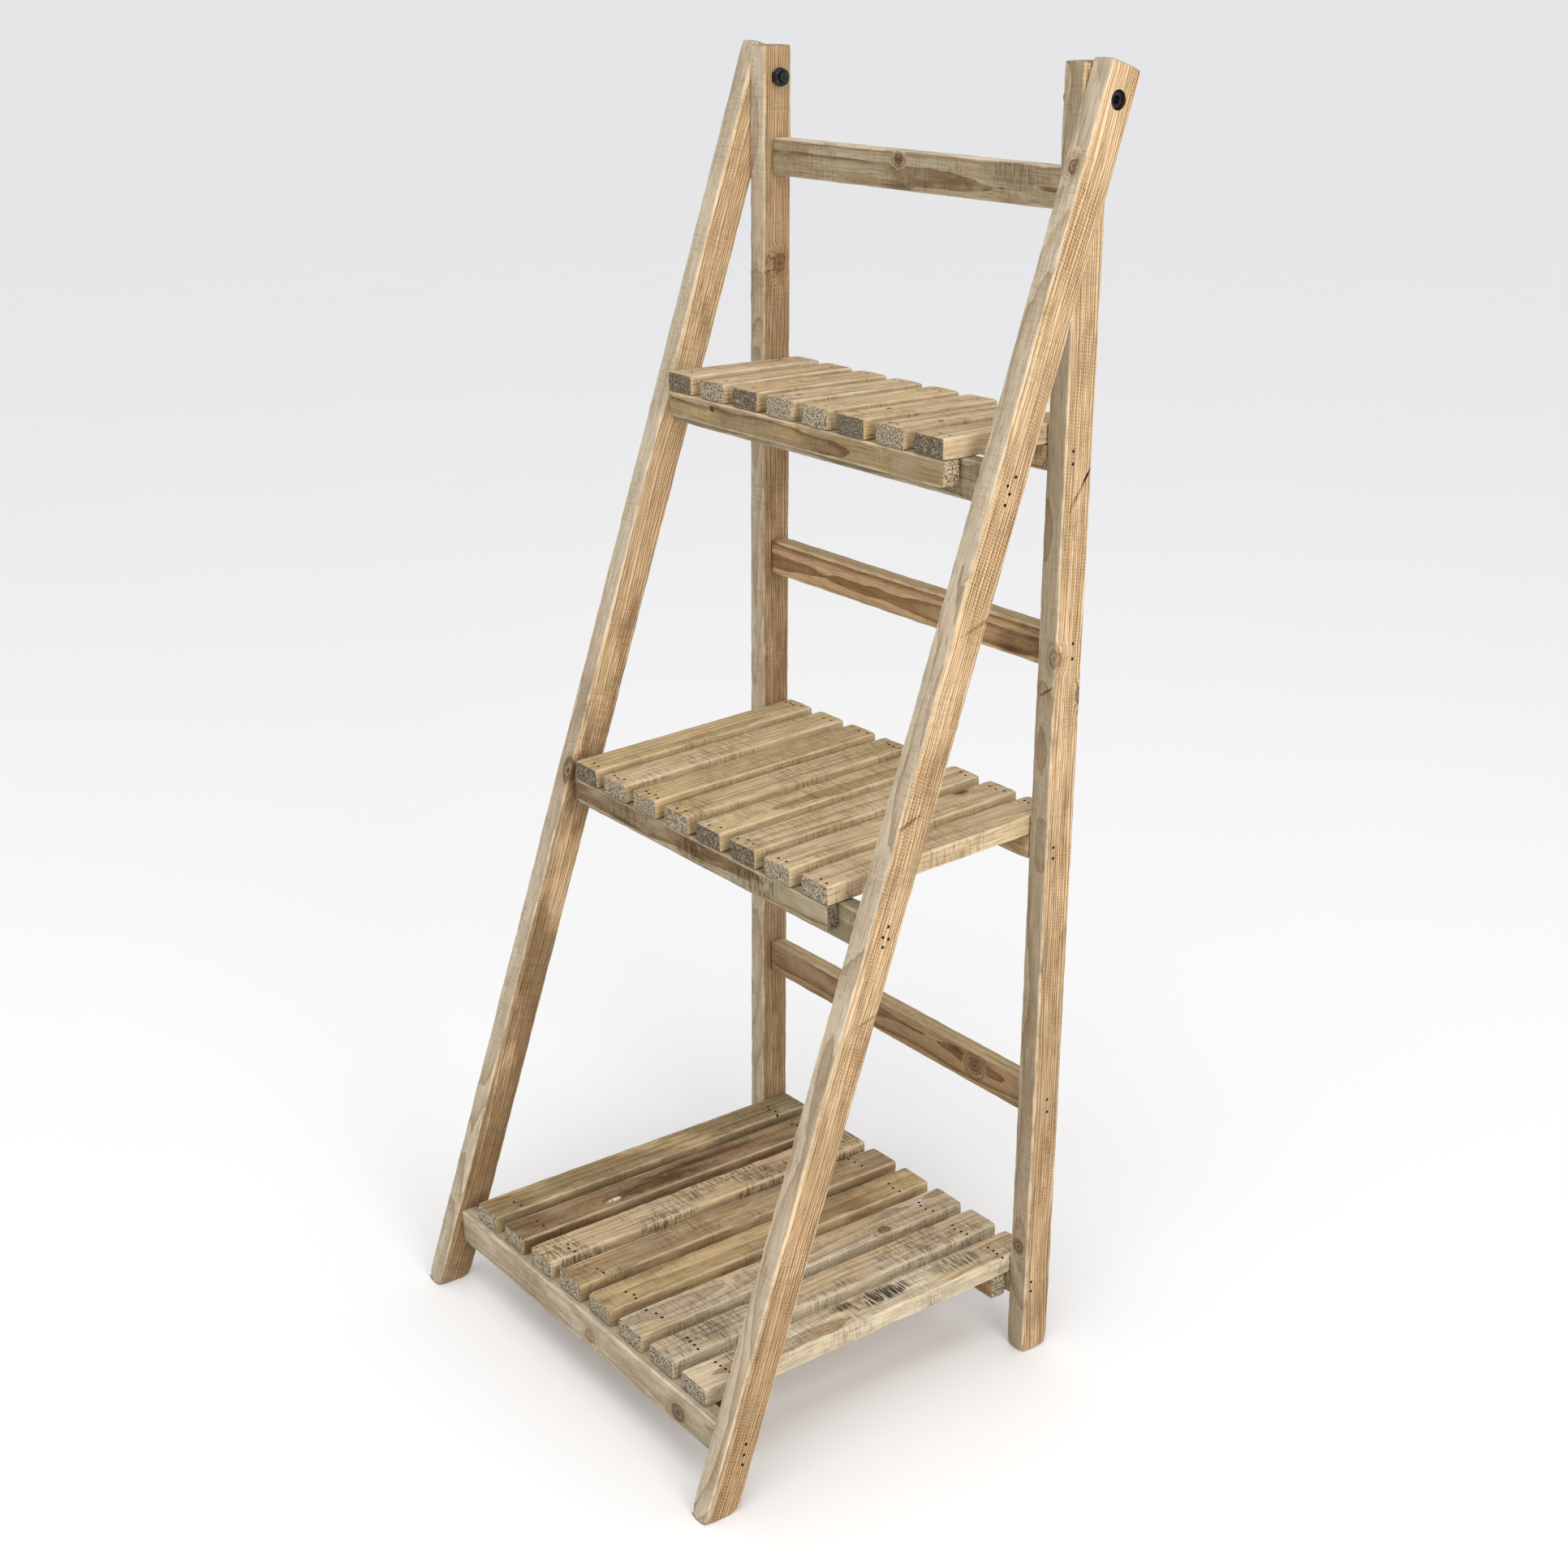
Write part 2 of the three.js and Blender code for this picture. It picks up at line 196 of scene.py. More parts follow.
class Board:
    """A board's axes and half sizes from its CAD node: across, along and out of the face that shows."""

    def __init__(self, name):
        self.name = name
        node = frame["nodes"][name]
        self.body = node["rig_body"]
        corners = [v.co.copy() for v in node.data.vertices]
        broad = self.broad_normal(node.data)
        axes = [Vector((1, 0, 0)), broad, Vector((1, 0, 0)).cross(broad)]
        extents = [max(c.dot(a) for c in corners) - min(c.dot(a) for c in corners) for a in axes]
        along = axes.pop(extents.index(max(extents)))
        if "_leg_" in name:
            self.kind, face, up = "leg", Vector((-1 if name.endswith("left") else 1, 0, 0)), along.z
        elif "_slat_" in name:
            self.kind, face, up = "slat", max(axes, key=lambda a: abs(a.z)), along.y
            face = face if face.z > 0 else -face
        else:
            self.kind, face, up = "rail", max(axes, key=lambda a: abs(a.y)), 1
            face = face if face.y < 0 else -face
        self.along = along if up > 0 else -along
        self.face = face
        self.across = self.along.cross(face)
        turned = Matrix((self.across, self.along, self.face))
        placed = [turned @ c for c in corners]
        low, high = (Vector(pick(p[i] for p in placed) for i in range(3)) for pick in (min, max))
        self.half = (high - low) / 2
        self.matrix = turned.transposed().to_4x4() @ Matrix.Translation((low + high) / 2)
        self.inverse = self.matrix.inverted()
        self.random = random.Random("timber " + name)
        self.sloping = self.kind == "leg" and abs(self.along.y) > 0.01

    @staticmethod
    def broad_normal(mesh):
        """The normal, square to X, of the faces that hold the most area."""
        sums = {}
        for face in mesh.polygons:
            n = face.normal
            if abs(n.x) > 0.1:
                continue
            n = -n if n.z < -1e-3 or (n.z < 1e-3 and n.y < 0) else n
            key = (round(n.y, 2), round(n.z, 2))
            sums[key] = sums.get(key, Vector()) + n * face.area
        return max(sums.values(), key=lambda v: v.length).normalized()

    def local(self, place):
        """A place given in the stand's frame in millimetres, in the board's own, in millimetres."""
        return (self.inverse @ (Vector(place) * MM)) / MM


def slice_edges(bm, axis, step):
    """Cuts every edge that runs mostly along an axis into equal steps."""
    found = []
    for edge in bm.edges:
        run = edge.verts[1].co - edge.verts[0].co
        if max(range(3), key=lambda i: abs(run[i])) == axis and run.length > 1.5 * step:
            found.append(edge)
    if found:
        cuts = max(1, round(max(e.calc_length() for e in found) / step) - 1)
        bmesh.ops.subdivide_edges(bm, edges=found, cuts=cuts, use_grid_fill=True)


def arris_radius(board, timber):
    """Slats and battens are sanded less than legs and rails."""
    return timber.slat_arris_radius if board.kind == "slat" or "batten" in board.name else timber.arris_radius


def rounded_board(board, timber):
    """A board with rounded arrises, cut into slices and strips, in its own coordinates."""
    half = board.half.copy()
    middle = Vector()
    if board.kind == "slat":
        trim = timber.end_trim * board.random.random()
        half.y -= trim / 2
        middle.y += trim / 2
    bm = bmesh.new()
    bmesh.ops.create_cube(bm, size=2)
    bmesh.ops.scale(bm, vec=half, verts=bm.verts)
    bmesh.ops.translate(bm, vec=middle, verts=bm.verts)
    if board.sloping:
        floor = board.inverse @ Vector()
        up = board.inverse.to_3x3() @ Vector((0, 0, 1))
        cut = bmesh.ops.bisect_plane(
            bm, geom=bm.verts[:] + bm.edges[:] + bm.faces[:], plane_co=floor, plane_no=up, clear_inner=True
        )
        bmesh.ops.edgeloop_fill(bm, edges=[e for e in cut["geom_cut"] if isinstance(e, bmesh.types.BMEdge)])
    bmesh.ops.recalc_face_normals(bm, faces=bm.faces)
    bmesh.ops.bevel(
        bm, geom=bm.edges[:], offset=arris_radius(board, timber), offset_type="OFFSET", segments=3,
        profile=0.5, affect="EDGES", clamp_overlap=True, material=-1,
    )
    slice_edges(bm, 1, timber.slice_length)
    slice_edges(bm, 0, timber.strip_width)
    slice_edges(bm, 2, timber.strip_width)
    return bm, half, middle


def wear_board(bm, board, half, middle, timber):
    """Sands and knocks a board inwards, most along its arrises and at its corners."""
    bm.normal_update()
    shift = Vector([board.random.uniform(-50, 50) for _ in range(3)])
    reach_of_arris = 2.5 * arris_radius(board, timber)
    moves = []
    for vert in bm.verts:
        offset = vert.co - middle
        reach = [half[i] - abs(offset[i]) for i in range(3)]
        low_end = board.kind == "leg" and offset.y < 0
        if board.sloping and low_end:
            reach[1] = min(reach[1], (board.matrix @ vert.co).z)
        nearest = sorted(max(0.0, r) for r in reach)
        arris = max(0.0, 1 - nearest[1] / reach_of_arris)
        corner = max(0.0, 1 - nearest[2] / (2 * reach_of_arris))
        place = Vector((offset.x * HOLLOWS_ACROSS, offset.y * HOLLOWS_ALONG, offset.z * HOLLOWS_ACROSS))
        hollow = 0.5 + 0.5 * noise.noise(place + shift)
        knocks = noise.noise(offset * KNOCKS + shift) + 0.5 * noise.noise(offset * CHIPS + shift)
        depth = timber.face_wear * hollow
        depth += timber.arris_wear * arris * arris * min(1.0, max(0.0, 0.45 + knocks))
        depth += (timber.foot_wear if low_end else timber.corner_wear) * corner * arris
        moves.append(vert.co - vert.normal * depth)
    for vert, place in zip(bm.verts, moves):
        vert.co = place


# ---- Nails, bolt holes and cracks ----

# Places of the nails on the right legs' outer faces: Y from the rear legs' front faces, and Z, in mm.
FRONT_LEG_NAILS = (
    (-67.7, 764), (-75.2, 758.6), (-73.3, 752.5), (-77.2, 745),
    (-175.8, 448), (-181, 441), (-175.6, 438), (-180.8, 433),
    (-305, 58), (-306.7, 49), (-308.3, 41),
)  # fmt: skip
REAR_LEG_NAILS = (
    (8, 769.5), (8, 760), (17.4, 622), (17.4, 610), (7.5, 459), (7.6, 450), (14.3, 237), (15, 225.5),
    (6.5, 68), (6.6, 59),
)  # fmt: skip
LEG_NAILS = {"front": FRONT_LEG_NAILS, "rear": REAR_LEG_NAILS}
# Rows of nails along each shelf's slats: Y of the front and of the rear row, in mm.
SLAT_NAIL_ROWS = {"top_shelf": (-89, 24), "middle_shelf": (-193, 22), "bottom_shelf": (-286, -6)}
# Slats whose front row was read one nail at a time: X of each, in mm.
READ_FRONT_NAILS = {
    "bottom_shelf_slat_1": (-153, -145), "bottom_shelf_slat_3": (-67, -60.5, -53),
    "bottom_shelf_slat_4": (-20, -12), "bottom_shelf_slat_5": (23, 30, 35),
}  # fmt: skip
# Cracks in a board's show face: two ends in mm, with Y from the rear legs' front faces, width and depth.
CRACKS = {
    "rear_leg_right": (((193, 17, 741), (193, 28, 757), 2.4, 1.5), ((193, 7, 727), (193, 19, 743), 0.8, 1)),
    "front_leg_right": (((213, -292, 207), (213, -276, 206), 1.2, 1.5),),
    "bottom_shelf_slat_3": (((-60, -250, 85), (-58, -170, 85), 0.8, 1.5),),
    "middle_shelf_slat_4": (((-26, -60, 478), (-24, -10, 480), 0.7, 1.5),),
}
# A nick in a leg's front arris, the same way.
NICKS = {"front_leg_left": (((-213, -236, 320), (-213, -245.5, 297), 4.4, 9),)}


def nail_places(board, nails):
    """Where the nails stand in a board's show face, in its own coordinates in metres."""
    scatter = nails.scatter
    chance = random.Random("nails " + board.name)
    places = []
    if board.kind == "leg":
        for y, z in LEG_NAILS[board.name.split("_")[0]]:
            if board.name.endswith("left"):
                y += chance.uniform(-LEFT_LEG_STRAY, LEFT_LEG_STRAY)
                z += chance.uniform(-LEFT_LEG_STRAY, LEFT_LEG_STRAY)
            place = board.local((0, y + REAR_LEG_FRONT_Y, z))
            places.append((place.x * MM, place.y * MM))
    elif board.kind == "slat":
        shelf = board.name.rsplit("_slat_", 1)[0]
        for row, y in enumerate(SLAT_NAIL_ROWS[shelf]):
            level = board.matrix.translation.z / MM
            along = board.local((board.matrix.translation.x / MM, y + REAR_LEG_FRONT_Y, level)).y * MM
            count = chance.randint(*((1, 2) if shelf == "top_shelf" else (2, 4)))
            across = [(i - (count - 1) / 2) * min(NAIL_GAP, NAIL_ROW / count) for i in range(count)]
            drift = chance.uniform(-ROW_STRAY, ROW_STRAY)
            if row == 0 and board.name in READ_FRONT_NAILS:
                drift = 0
                across = [x * MM - board.matrix.translation.x for x in READ_FRONT_NAILS[board.name]]
            for x in across:
                sideways, lengthways = chance.uniform(-0.2, 0.2) * scatter, chance.uniform(-1, 1) * scatter
                places.append((x + drift + sideways, along + lengthways))
    return places


def peg(bm, board, place, diameter, depth, segments, top=None):
    """A round cutter or head standing in a board's show face, from a top down to a depth."""
    top = board.half.z + MM if top is None else top
    middle = Vector((place[0], place[1], (top + board.half.z - depth) / 2))
    return bmesh.ops.create_cone(
        bm, cap_ends=True, segments=segments, radius1=diameter / 2, radius2=diameter / 2,
        depth=top - board.half.z + depth, matrix=Matrix.Translation(middle),
    )["verts"]


def bolt_cutter(bm, board, hardware):
    """The bolt's hole, with a counterbore around the head in a front leg."""
    joint = next(j for j in frame["joints"] if j["name"] == "fold")
    pivot = board.inverse @ Vector(joint["pos_m"])
    through = 2 * board.half.z + 2 * MM
    if not board.sloping:
        peg(bm, board, pivot, hardware.hole_diameter, through, hardware.round_segments)
        return
    width, depth = hardware.counterbore_diameter, hardware.counterbore_depth
    verts = peg(bm, board, pivot, width, depth, hardware.round_segments)
    floor = min({f for v in verts for f in v.link_faces}, key=lambda f: f.calc_center_median().z)
    bmesh.ops.inset_region(bm, faces=[floor], thickness=(width - hardware.hole_diameter) / 2)
    shaft = bmesh.ops.extrude_discrete_faces(bm, faces=[floor])["faces"][0]
    bmesh.ops.translate(bm, vec=(0, 0, depth - through), verts=shaft.verts)


def crack_cutter(bm, board, start, end, width, depth, finish=1):
    """A narrow crack or a nick that tapers to both ends, in a board's show face."""
    ends = [board.local((x, y + REAR_LEG_FRONT_Y, z)) * MM for x, y, z in (start, end)]
    run = ends[1] - ends[0]
    turn = Matrix.Rotation(math.atan2(run.y, run.x), 4, "Z")
    middle = (ends[0] + ends[1]) / 2
    middle.z = board.half.z
    size = Matrix.Diagonal((run.to_2d().length / 2, width * MM / 2, depth * MM, 1))
    verts = bmesh.ops.create_cone(
        bm, cap_ends=True, segments=4, radius1=1, radius2=1, depth=2,
        matrix=Matrix.Translation(middle) @ turn @ size,
    )["verts"]
    for face in {f for v in verts for f in v.link_faces}:
        face.material_index = finish


def cut_board(obj, board, settings):
    """Cuts a board's nail holes, bolt hole and cracks, and gives their walls the second finish, which paints
    shade on them.
    """
    bm = bmesh.new()
    for place in nail_places(board, settings.nails):
        peg(bm, board, place, settings.nails.hole_diameter, settings.nails.hole_depth, HOLE_SEGMENTS)
    if board.kind == "leg":
        bolt_cutter(bm, board, settings.hardware)
    for face in bm.faces:
        face.material_index = 1
    for crack in CRACKS.get(board.name, ()):
        crack_cutter(bm, board, *crack)
    for nick in NICKS.get(board.name, ()):
        crack_cutter(bm, board, *nick, 0)
    if not bm.faces:
        bm.free()
        return
    bmesh.ops.recalc_face_normals(bm, faces=bm.faces)
    cutter = mesh_object(board.name + "_cutter", bm)
    for material in obj.data.materials:
        cutter.data.materials.append(material)
    cut = obj.modifiers.new("holes", "BOOLEAN")
    cut.operation, cut.object, cut.solver = "DIFFERENCE", cutter, "EXACT"
    cut.material_mode = "INDEX"
    shape = bpy.data.meshes.new_from_object(obj.evaluated_get(bpy.context.evaluated_depsgraph_get()))
    obj.modifiers.clear()
    obj.data = shape
    bpy.data.objects.remove(cutter)


# ---- Objects ----


@dataclass
class Settings:
    """The scene's property groups, by short names."""

    timber: object
    stains: object
    nails: object
    hardware: object
    stage: object


def settings_of(context):
    scene = context.scene
    return Settings(
        scene.stand_timber, scene.stand_stains, scene.stand_nails, scene.stand_hardware, scene.stand_stage
    )


def mesh_object(name, bm):
    """An object at the origin that holds a finished bmesh."""
    mesh = bpy.data.meshes.new(name)
    bm.to_mesh(mesh)
    bm.free()
    obj = bpy.data.objects.new(name, mesh)
    bpy.context.scene.collection.objects.link(obj)
    return obj


def smooth(obj, degrees=35):
    """Smooth shading, broken at edges sharper than an angle."""
    obj.data.shade_smooth()
    obj.data.set_sharp_from_angle(angle=math.radians(degrees))


def make_board(name, settings):
    """One finished board in the place of its CAD node."""
    board = Board(name)
    bm, half, middle = rounded_board(board, settings.timber)
    wear_board(bm, board, half, middle, settings.timber)
    obj = mesh_object(name + "_board", bm)
    obj.data.materials.append(timber_material(board, LOOKS[name], settings.stains))
    # The second finish paints the shade in the holes and cracks.
    obj.data.materials.append(bored_timber(settings.stains))
    cut_board(obj, board, settings)
    mesh = obj.data
    grain = mesh.attributes.new(GRAIN, "FLOAT_VECTOR", "POINT")
    for vert, value in zip(mesh.vertices, grain.data):
        value.vector = vert.co / MM
    mesh.transform(board.matrix)
    smooth(obj)
    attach(obj, board.body)
    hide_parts(name)
    ("batten" if "batten" in name else board.kind) + "_wood"


def make_nail_heads(settings):
    """The sunk nails' heads, one object for each body."""
    nails = settings.nails
    width = nails.hole_diameter * HEAD_FIT
    heads = {}
    for name in sorted(frame["nodes"]):
        if name.startswith("pivot"):
            continue
        board = Board(name)
        bm = heads.setdefault(board.body, bmesh.new())
        for place in nail_places(board, nails):
            top = board.half.z - nails.hole_depth + nails.head_thickness
            verts = peg(bm, board, place, width, nails.hole_depth, HEAD_SEGMENTS, top)
            bmesh.ops.transform(bm, matrix=board.matrix, verts=verts)
    for body, bm in heads.items():
        bmesh.ops.recalc_face_normals(bm, faces=bm.faces)
        rims = [e for e in bm.edges if e.calc_face_angle(0) > math.radians(60)]
        bmesh.ops.bevel(
            bm, geom=rims, offset=HEAD_BEVEL, segments=1, profile=0.5, affect="EDGES", material=-1
        )
        obj = mesh_object(body + "_nail_heads", bm)
        obj.data.materials.append(nail_steel())
        smooth(obj)
        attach(obj, body)


def make_hardware(settings):
    """The pivot bolts and nuts, with the CAD shapes' edges rounded."""
    for name in ("pivot_bolt_left", "pivot_bolt_right", "pivot_nut_left", "pivot_nut_right"):
        node = frame["nodes"][name]
        bm = bmesh.new()
        bm.from_mesh(node.data)
        bmesh.ops.remove_doubles(bm, verts=bm.verts, dist=1e-6)
        bmesh.ops.dissolve_limit(bm, angle_limit=math.radians(1), verts=bm.verts, edges=bm.edges)
        sharp = [e for e in bm.edges if e.is_manifold and e.calc_face_angle() > math.radians(25)]
        bmesh.ops.bevel(
            bm, geom=sharp, offset=settings.hardware.edge_radius, offset_type="OFFSET", segments=2,
            profile=0.5, affect="EDGES", clamp_overlap=True, material=-1,
        )
        bmesh.ops.recalc_face_normals(bm, faces=bm.faces)
        obj = mesh_object(name + "_blackened", bm)
        obj.data.materials.append(black_steel(name, 0.5 if "nut" in name else 0.45))
        smooth(obj, 30)
        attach(obj, node["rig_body"])
        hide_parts(name)


# ---- Shader expressions ----


class Value:
    """A shader socket. An expression on it adds a Math node for each operation."""

    def __init__(self, shader, socket):
        self.shader, self.socket = shader, socket

    def math(self, operation, *others):
        return self.shader.math(operation, self, *others)

    def __add__(self, other):
        return self.math("ADD", other)

    def __sub__(self, other):
        return self.math("SUBTRACT", other)

    def __rsub__(self, other):
        return self.shader.math("SUBTRACT", other, self)

    def __mul__(self, other):
        return self.math("MULTIPLY", other)

    def __truediv__(self, other):
        return self.math("DIVIDE", other)

    def __pow__(self, other):
        return self.math("POWER", other)

    def __abs__(self):
        return self.math("ABSOLUTE")

    __radd__, __rmul__ = __add__, __mul__


class Shader:
    """A material whose nodes are added by expressions."""

    def __init__(self, name):
        self.material = bpy.data.materials.new(name)
        self.material.use_nodes = True
        self.tree = self.material.node_tree
        self.surface = self.tree.nodes["Principled BSDF"]

    def node(self, kind, settings=None, sockets=None, output=0):
        """Adds a node, sets it up, fills its sockets with values or links, and gives one of its outputs."""
        made = self.tree.nodes.new(kind)
        for name, value in (settings or {}).items():
            setattr(made, name, value)
        self.fill(made, sockets or {})
        return Value(self, made.outputs[output])

    def fill(self, made, sockets):
        for key, value in sockets.items():
            socket = made.inputs[key]
            if isinstance(value, Value):
                self.tree.links.new(value.socket, socket)
            elif socket.type == "RGBA":
                socket.default_value = (*value, 1)
            else:
                socket.default_value = value

    def math(self, operation, *values):
        return self.node("ShaderNodeMath", {"operation": operation}, dict(enumerate(values)))

    def step(self, value, low, high, start=0.0, end=1.0):
        """A smooth step from start to end as a value goes from low to high."""
        sockets = {0: value, 1: low, 2: high, 3: start, 4: end}
        return self.node("ShaderNodeMapRange", {"interpolation_type": "SMOOTHSTEP"}, sockets)

    def noise(self, place, stretch, shift, detail=2.0, roughness=0.5):
        """Noise about 0 to 1, with as many bumps to a millimetre each way as stretch says."""
        sockets = {0: place, 1: stretch, 2: shift}
        moved = self.node("ShaderNodeVectorMath", {"operation": "MULTIPLY_ADD"}, sockets)
        return self.node(
            "ShaderNodeTexNoise", {}, {"Vector": moved, "Scale": 1, "Detail": detail, "Roughness": roughness}
        )

    def line_noise(self, value):
        """Noise that changes with one number."""
        sockets = {"W": value, "Scale": 1, "Detail": 1}
        return self.node("ShaderNodeTexNoise", {"noise_dimensions": "1D"}, sockets)

    def mix(self, factor, first, second, blend="MIX"):
        """A colour mix. With MULTIPLY, the second colour tints the first."""
        return self.node(
            "ShaderNodeMix", {"data_type": "RGBA", "blend_type": blend, "clamp_factor": True},
            {"Factor": factor, 6: first, 7: second}, 2,
        )

    def tint(self, colour, mask, tinted):
        return self.mix(mask, colour, tinted, "MULTIPLY")

    def dot(self, first, second):
        """The dot product of a vector and a fixed one."""
        return self.node(
            "ShaderNodeVectorMath", {"operation": "DOT_PRODUCT"}, {0: first, 1: tuple(second)}, "Value"
        )

    def finish(self, colour, roughness, height=None, **fixed):
        """Feeds the surface, and sets its fixed sockets by name. Height is in millimetres."""
        self.fill(self.surface, {"Base Color": colour, "Roughness": roughness})
        self.fill(self.surface, {name.replace("_", " "): value for name, value in fixed.items()})
        if height is not None:
            bump = self.node("ShaderNodeBump", {}, {"Strength": 1, "Distance": MM, "Height": height})
            self.fill(self.surface, {"Normal": bump})
        return self.material


def linear(swatch):
    """A stain's display values as the renderer's linear ones."""
    return tuple(Color(swatch).from_srgb_to_scene_linear())


# ---- Timber finish ----

# Tints multiply the colour beneath them.
LATEWOOD_TINT = (0.46, 0.35, 0.235)
FIBRE_TINT = (0.72, 0.67, 0.59)
HAIR_TINT = (0.55, 0.50, 0.42)
DIRT_TINT = (0.42, 0.36, 0.30)
SPECK_TINT = (0.45, 0.40, 0.33)
SAWN_TINT = (0.40, 0.36, 0.30)
RIPPLE_TINT = (0.56, 0.47, 0.36)
HALO_TINT = (0.66, 0.54, 0.40)
STREAK_TINT = (0.42, 0.32, 0.22)
END_RING_TINT = (0.60, 0.53, 0.43)
# Painted shade on the walls of holes and cracks.
HOLE_SHADE_TINT = (0.5, 0.45, 0.4)

# Base colours of the steel.
DULL_STEEL, RUST = (0.035, 0.032, 0.03), (0.09, 0.045, 0.025)
# The second is worn oxide, painted bright and bluish as a highlight.
BLACK_OXIDE, RUBBED_HIGHLIGHT_OXIDE = (0.016, 0.017, 0.020), (0.13, 0.15, 0.19)


@dataclass
class Mark:
    """A knot, smudge, streak, fleck or pit: its place in mm, with Y from the rear legs' front faces."""

    kind: str
    place: tuple
    across: float
    along: float
    turn: float = 0.0  # degrees
    strength: float = 1.0


@dataclass
class Look:
    """How one board is finished."""

    stain: str
    second: str
    patches: float = 0.5  # how much of it the second stain takes
    fade: float = 0.0  # how far the second stain takes over towards its low or front end
    ring_gap: float = 2.6  # mm
    pith: tuple = (60, 8)  # where the tree's middle lies, across and out of the face, in mm
    latewood: float = 0.42
    grey: float = 0.25
    chatter: float = 0.3  # crosswise saw marks
    hatch: float = 0.0  # diagonal ripple of a blunt planer
    end: str = "end_light"
    marks: tuple = ()
    narrow: str = ""  # stain of the narrow faces, where they differ
    sharpness: float = 2.2  # how narrow the dark part of each ring is


class Timber:
    """What the parts of one board's finish share: its coordinates in mm, its stains and its seeded noises."""

    def __init__(self, board, look, stains):
        self.board, self.look = board, look
        self.stains = {name: linear(getattr(stains, name)) for name in StainSettings.__annotations__}
        self.random = random.Random("stain " + board.name)
        self.half = board.half / MM
        self.shader = Shader(board.name + "_timber")
        self.grain = self.shader.node("ShaderNodeAttribute", {"attribute_name": GRAIN}, {}, "Vector")
        self.normal = self.shader.node("ShaderNodeTexCoord", {}, {}, "Normal")
        split = self.shader.node("ShaderNodeSeparateXYZ", {}, {0: self.grain}).socket.node.outputs
        self.x, self.y, self.z = (Value(self.shader, socket) for socket in split)

    def noise(self, across, along, detail=2, roughness=0.5):
        """Noise with so many bumps to a millimetre across the grain and along it."""
        shift = tuple(self.random.uniform(-90, 90) for _ in range(3))
        return self.shader.noise(self.grain, (across, along, across), shift, detail, roughness)

    def measure(self, mark):
        """How far each place lies from a mark's middle, in the mark's own sizes, and the way it faces."""
        centre = self.board.local((mark.place[0], mark.place[1] + REAR_LEG_FRONT_Y, mark.place[2]))
        on_edge = self.half.x - abs(centre.x) < self.half.z - abs(centre.z)
        across, out, along = self.x - centre.x, self.z - centre.z, self.y - centre.y
        if on_edge:
            across, out = out, across
        if mark.turn:
            cosine, sine = math.cos(math.radians(mark.turn)), math.sin(math.radians(mark.turn))
            across, along = across * cosine + along * sine, along * cosine - across * sine
        wobble = self.noise(0.9 / mark.across, 0.9 / mark.across, 3, 0.6) - 0.5
        deep = mark.across * (2.2 if mark.kind == "knot" else 1.0)
        squares = (across / mark.across) ** 2 + (along / mark.along) ** 2 + (out / deep) ** 2
        facing = self.board.across * (1 if centre.x > 0 else -1) if on_edge else self.board.face
        return squares ** 0.5 + wobble * 1.1, facing


